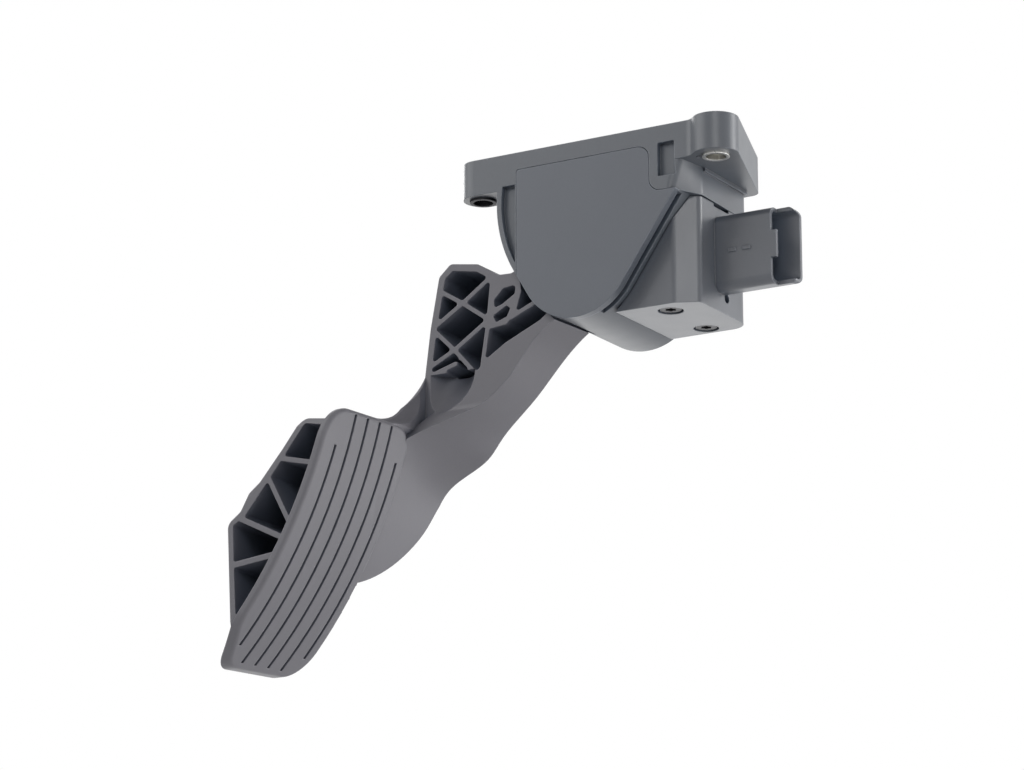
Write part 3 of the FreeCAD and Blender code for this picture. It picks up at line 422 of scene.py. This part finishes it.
def sweptMesh(tree, curve, section):
    values = {"Curve": curve, "Profile Curve": section, "Fill Caps": True}
    return addNode(tree, "GeometryNodeCurveToMesh", values).outputs["Mesh"]


def movedShape(tree, shape, moves):
    return addNode(tree, "GeometryNodeTransform", {"Geometry": shape, **moves}).outputs[0]


def joinedShapes(tree, shapes):
    node = tree.nodes.new("GeometryNodeJoinGeometry")
    for shape in reversed(shapes):
        tree.links.new(shape, node.inputs[0])
    return node.outputs[0]


# Ends a tree as a plain mesh with its material
def closeTree(tree, out, shape, material):
    real = addNode(tree, "GeometryNodeRealizeInstances", {"Geometry": shape}).outputs[0]
    painted = addNode(tree, "GeometryNodeSetMaterial", {"Geometry": real, "Material": material}).outputs[0]
    fillInputs(tree, out, {"Geometry": painted})


def meshFromTree(pieceName, tree, values):
    piece = bpy.data.objects.new(pieceName, bpy.data.meshes.new(pieceName))
    scene.collection.objects.link(piece)
    modifier = piece.modifiers.new("build", "NODES")
    modifier.node_group = tree
    for item in tree.interface.items_tree:
        if item.item_type == "SOCKET" and item.in_out == "INPUT" and item.name in values:
            modifier[item.identifier] = values[item.name]
    evaluated = piece.evaluated_get(bpy.context.evaluated_depsgraph_get())
    mesh = bpy.data.meshes.new_from_object(evaluated)
    mesh.name = pieceName
    piece.modifiers.remove(modifier)
    piece.data = mesh
    return piece


# Return springs: wire wound with close end coils. One end rides on the crank, the other stays on the lever
springs = {
    "return_spring_outer": {"turns": 6.5, "wire": 0.0016},
    "return_spring_inner": {"turns": 9.0, "wire": 0.0011},
}
springShared = {"crankFace": 0.0031, "leverSeat": 0.0245, "seatedWires": 1.3, "endShare": 0.3,
                "openCoils": (0.1, 0.9, 0.0, 1.0), "turnPoints": 32, "wirePoints": 14}


def makeSpringTree():
    tree, into, out = newGroup("compressionSpring", "GeometryNodeTree", [
        ("Radius", "NodeSocketFloat", 0.005),
        ("Wire Radius", "NodeSocketFloat", 0.0008),
        ("Length", "NodeSocketFloat", 0.02),
        ("Turns", "NodeSocketFloat", 6.0),
        ("End Share", "NodeSocketFloat", 0.3),
        ("Start", "NodeSocketVector", (0.0, 0.0, 0.0)),
    ], [("Geometry", "NodeSocketGeometry")])
    endShare = into.outputs["End Share"]
    turns = into.outputs["Turns"]
    helix = spiralCurve(tree, springShared["turnPoints"], turns, into.outputs["Radius"], 0.0)
    along = tree.nodes.new("GeometryNodeSplineParameter").outputs["Factor"]
    ends = mathNode(tree, "MULTIPLY", along, endShare)
    rise = rangeNode(tree, along, springShared["openCoils"], smooth=True)
    middle = mathNode(tree, "MULTIPLY", rise, mathNode(tree, "SUBTRACT", 1.0, endShare))
    lift = mathNode(tree, "MULTIPLY", mathNode(tree, "ADD", ends, middle), into.outputs["Length"])
    wound = addNode(tree, "GeometryNodeSetPosition", {
        "Geometry": helix, "Offset": upVector(tree, lift),
    }).outputs[0]
    section = circleCurve(tree, springShared["wirePoints"], into.outputs["Wire Radius"])
    wire = sweptMesh(tree, wound, section)
    smooth = addNode(tree, "GeometryNodeSetShadeSmooth", {"Geometry": wire}).outputs[0]
    laid = movedShape(tree, smooth, {
        "Translation": into.outputs["Start"], "Rotation": (0.0, math.radians(90.0), 0.0),
    })
    closeTree(tree, out, laid, materials["spring_steel"])
    return tree


springTree = makeSpringTree()
for nodeName, spring in springs.items():
    low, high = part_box(nodeName)
    wireRadius = spring["wire"] / 2
    start = Vector((springShared["crankFace"] + wireRadius, (low.y + high.y) / 2, (low.z + high.z) / 2))
    piece = meshFromTree(nodeName + "_wire", springTree, {
        "Radius": (high.z - low.z) / 2 - wireRadius,
        "Wire Radius": wireRadius,
        "Length": springShared["leverSeat"] - springShared["crankFace"] - spring["wire"],
        "Turns": spring["turns"],
        "End Share": springShared["endShare"],
        "Start": start,
    })
    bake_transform(piece)
    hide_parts(nodeName)
print("springs wound:", len(springs))


# Sensor screws: a pan head with a six lobed socket and a thread cut for plastic. Sizes in millimetres
screwLook = {"headRadius": 3.75, "headHeight": 2.1, "socketInner": 1.6, "socketOuter": 2.25,
             "socketRound": 0.3, "socketDepth": 1.5, "shankRadius": 1.35, "threadReach": 0.36,
             "threadPitch": 1.8, "edge": 0.35}
screwShape = {"count": 2, "lobes": 6, "lobePoints": 4, "rimPoints": 64, "shankPoints": 32,
              "threadPoints": 28, "flankPoints": 4, "floorShare": 0.6, "threadShare": 0.9,
              "threadFoot": -0.98, "weldReach": 0.01, "edgeSteps": 3, "edgeAngle": 60.0}


def makeScrewTree():
    tree, into, out = newGroup("sensorScrew", "GeometryNodeTree", [
        ("Head Radius", "NodeSocketFloat", 0.003),
        ("Head Height", "NodeSocketFloat", 0.002),
        ("Socket Inner", "NodeSocketFloat", 0.001),
        ("Socket Outer", "NodeSocketFloat", 0.0015),
        ("Socket Round", "NodeSocketFloat", 0.0003),
        ("Socket Depth", "NodeSocketFloat", 0.0015),
        ("Shank Radius", "NodeSocketFloat", 0.0014),
        ("Shank Length", "NodeSocketFloat", 0.02),
        ("Thread Reach", "NodeSocketFloat", 0.0003),
        ("Thread Turns", "NodeSocketFloat", 12.0),
        ("First", "NodeSocketVector", (0.0, 0.0, 0.0)),
        ("Step", "NodeSocketVector", (0.0, 0.03, 0.0)),
    ], [("Geometry", "NodeSocketGeometry")])
    headHeight = into.outputs["Head Height"]
    shankRadius = into.outputs["Shank Radius"]
    shankLength = into.outputs["Shank Length"]
    rim = circleCurve(tree, screwShape["rimPoints"], into.outputs["Head Radius"])
    star = addNode(tree, "GeometryNodeCurveStar", {
        "Points": screwShape["lobes"], "Inner Radius": into.outputs["Socket Inner"],
        "Outer Radius": into.outputs["Socket Outer"],
    }).outputs["Curve"]
    lobes = addNode(tree, "GeometryNodeFilletCurve", {
        "Curve": star, "Radius": into.outputs["Socket Round"], "Count": screwShape["lobePoints"],
    }, mode="POLY").outputs["Curve"]
    pierced = {"Curve": joinedShapes(tree, [rim, lobes])}
    face = addNode(tree, "GeometryNodeFillCurve", pierced, mode="TRIANGLES").outputs["Mesh"]
    thick = addNode(tree, "GeometryNodeExtrudeMesh", {
        "Mesh": face, "Offset Scale": headHeight, "Individual": False,
    }).outputs["Mesh"]
    under = addNode(tree, "GeometryNodeFlipFaces", {"Mesh": face}).outputs["Mesh"]
    head = addNode(tree, "GeometryNodeMergeByDistance", {
        "Geometry": joinedShapes(tree, [thick, under]), "Distance": screwShape["weldReach"] * millimetre,
    }).outputs[0]
    floorLift = mathNode(tree, "SUBTRACT", headHeight, into.outputs["Socket Depth"])
    disc = addNode(tree, "GeometryNodeFillCurve", {"Curve": rim}, mode="NGONS").outputs["Mesh"]
    floorShare = screwShape["floorShare"]
    socketFloor = movedShape(tree, disc, {
        "Translation": upVector(tree, floorLift), "Scale": (floorShare, floorShare, 1.0),
    })
    shankLine = addNode(tree, "GeometryNodeCurvePrimitiveLine", {
        "Start": upVector(tree, floorLift),
        "End": upVector(tree, mathNode(tree, "MULTIPLY", shankLength, -1.0)),
    }).outputs["Curve"]
    shank = sweptMesh(tree, shankLine, circleCurve(tree, screwShape["shankPoints"], shankRadius))
    threadHeight = mathNode(tree, "MULTIPLY", shankLength, screwShape["threadShare"])
    threadFoot = mathNode(tree, "MULTIPLY", shankLength, screwShape["threadFoot"])
    turns = into.outputs["Thread Turns"]
    helix = spiralCurve(tree, screwShape["threadPoints"], turns, shankRadius, threadHeight)
    flank = circleCurve(tree, screwShape["flankPoints"], into.outputs["Thread Reach"])
    thread = movedShape(tree, sweptMesh(tree, helix, flank), {"Translation": upVector(tree, threadFoot)})
    whole = joinedShapes(tree, [head, socketFloor, shank, thread])
    turned = movedShape(tree, whole, {"Rotation": (math.radians(180.0), 0.0, 0.0)})
    places = addNode(tree, "GeometryNodeMeshLine", {
        "Count": screwShape["count"], "Start Location": into.outputs["First"],
        "Offset": into.outputs["Step"],
    }, mode="OFFSET").outputs["Mesh"]
    placed = addNode(tree, "GeometryNodeInstanceOnPoints", {
        "Points": places, "Instance": turned,
    }).outputs[0]
    closeTree(tree, out, placed, materials["screw_steel"])
    return tree


firstLow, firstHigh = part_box("sensor_screw_1")
secondLow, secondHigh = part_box("sensor_screw_2")
firstMiddle = (firstLow + firstHigh) / 2
secondMiddle = (secondLow + secondHigh) / 2
headTop = firstLow.z + screwLook["headHeight"] * millimetre
screws = meshFromTree("sensor_screws", makeScrewTree(), {
    "Head Radius": screwLook["headRadius"] * millimetre,
    "Head Height": screwLook["headHeight"] * millimetre,
    "Socket Inner": screwLook["socketInner"] * millimetre,
    "Socket Outer": screwLook["socketOuter"] * millimetre,
    "Socket Round": screwLook["socketRound"] * millimetre,
    "Socket Depth": screwLook["socketDepth"] * millimetre,
    "Shank Radius": screwLook["shankRadius"] * millimetre,
    "Shank Length": firstHigh.z - headTop,
    "Thread Reach": screwLook["threadReach"] * millimetre,
    "Thread Turns": (firstHigh.z - headTop) / (screwLook["threadPitch"] * millimetre),
    "First": Vector((firstMiddle.x, firstMiddle.y, headTop)),
    "Step": secondMiddle - firstMiddle,
})
edgeRound = screws.modifiers.new("headEdge", "BEVEL")
edgeRound.width = screwLook["edge"] * millimetre
edgeRound.segments = screwShape["edgeSteps"]
edgeRound.limit_method = "ANGLE"
edgeRound.angle_limit = math.radians(screwShape["edgeAngle"])
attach(screws, "base")
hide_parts("sensor_screw_1", "sensor_screw_2")
print("screws made:", screwShape["count"])


# Camera: where the photograph's camera stood, turned the way it looked
cameraLook = {"place": (0.6150, -1.0911, -0.4172), "azimuth": 31.0, "elevation": -15.0, "lens": 131.1,
              "sensorWidth": 36.0, "clipEnd": 50.0}


def makeCamera():
    camera = bpy.data.objects.new("camera", bpy.data.cameras.new("camera"))
    scene.collection.objects.link(camera)
    turn = math.radians(cameraLook["azimuth"])
    tip = math.radians(cameraLook["elevation"])
    back = Vector((math.sin(turn) * math.cos(tip), -math.cos(turn) * math.cos(tip), math.sin(tip)))
    right = Vector((math.cos(turn), math.sin(turn), 0.0))
    up = back.cross(right)
    rows = [(right[i], up[i], back[i], cameraLook["place"][i]) for i in range(3)]
    camera.matrix_world = Matrix((*rows, (0.0, 0.0, 0.0, 1.0)))
    camera.data.lens = cameraLook["lens"]
    camera.data.sensor_width = cameraLook["sensorWidth"]
    camera.data.clip_end = cameraLook["clipEnd"]
    scene.camera = camera


# Lamps: soft round panels that all face the target, each with its place, size and power
lamps = {
    "leftFront": {"place": (-1.1, -0.85, 0.8), "size": 1.5, "power": 11.5},
    "rightFront": {"place": (0.7, -1.3, 0.4), "size": 0.6, "power": 4.5},
    "right": {"place": (1.2, 0.95, -0.45), "size": 1.6, "power": 12.5},
    "rightHigh": {"place": (1.2, 0.8, 0.45), "size": 0.8, "power": 9.0},
    "rightLow": {"place": (1.15, -0.25, -0.85), "size": 0.4, "power": 10.5},
    "farLeft": {"place": (-1.1, 0.8, 0.5), "size": 0.9, "power": 7.0},
    "underBack": {"place": (-0.65, 1.05, -0.5), "size": 0.8, "power": 1.2},
}
lampTarget = Vector((0.0, -0.02, -0.08))


def makeLamps():
    for name, lamp in lamps.items():
        data = bpy.data.lights.new(name, "AREA")
        data.shape = "DISK"
        data.size = lamp["size"]
        data.energy = lamp["power"]
        holder = bpy.data.objects.new(name, data)
        scene.collection.objects.link(holder)
        holder.location = lamp["place"]
        holder.visible_camera = False
        holder.rotation_euler = (lampTarget - Vector(lamp["place"])).to_track_quat("-Z", "Y").to_euler()


# World and floor: a pale floor that fades to white away from the part
surround = {"ambient": 0.38, "floorDrop": 0.8, "floorHalf": 9.0, "floorColour": (0.8, 0.8, 0.8),
            "floorRoughness": 0.9, "floorSpecular": 0.1, "fade": (0.5, 2.4, 0.35, 1.0)}


# 1 where the camera, a gloss or a clear part looks, and 0 for the light that falls on the part
def seenWhite(tree):
    path = tree.nodes.new("ShaderNodeLightPath")
    seen = mathNode(tree, "MAXIMUM", path.outputs["Is Camera Ray"], path.outputs["Is Glossy Ray"])
    return mathNode(tree, "MAXIMUM", seen, path.outputs["Is Transmission Ray"])


def makeWorld():
    world = bpy.data.worlds.new("studio")
    world.use_nodes = True
    tree = world.node_tree
    strength = rangeNode(tree, seenWhite(tree), (0.0, 1.0, surround["ambient"], 1.0))
    fillInputs(tree, tree.nodes["Background"], {"Color": (1.0, 1.0, 1.0, 1.0), "Strength": strength})
    scene.world = world


def makeFloorMaterial():
    material, tree, shader = newMaterial("paleFloor", surround["floorColour"])
    fillInputs(tree, shader, {
        "Base Color": (*surround["floorColour"], 1.0),
        "Roughness": surround["floorRoughness"],
        "Specular IOR Level": surround["floorSpecular"],
    })
    reach = vectorMath(tree, "LENGTH", {0: objectPlace(tree)})
    far = rangeNode(tree, reach.outputs["Value"], surround["fade"], smooth=True)
    glow = tree.nodes.new("ShaderNodeEmission")
    mix = addNode(tree, "ShaderNodeMixShader", {
        0: mathNode(tree, "MULTIPLY", far, seenWhite(tree)), 1: shader.outputs[0], 2: glow.outputs[0],
    })
    fillInputs(tree, tree.nodes["Material Output"], {"Surface": mix.outputs[0]})
    return material


def makeFloor():
    half = surround["floorHalf"]
    drop = -surround["floorDrop"]
    corners = [(-half, -half, drop), (half, -half, drop), (half, half, drop), (-half, half, drop)]
    mesh = bpy.data.meshes.new("floor")
    mesh.from_pydata(corners, [], [(0, 1, 2, 3)])
    mesh.materials.append(makeFloorMaterial())
    floor = bpy.data.objects.new("floor", mesh)
    scene.collection.objects.link(floor)


makeCamera()
makeLamps()
makeWorld()
makeFloor()
scene.view_settings.view_transform = "Standard"
print("camera, lamps and floor placed")
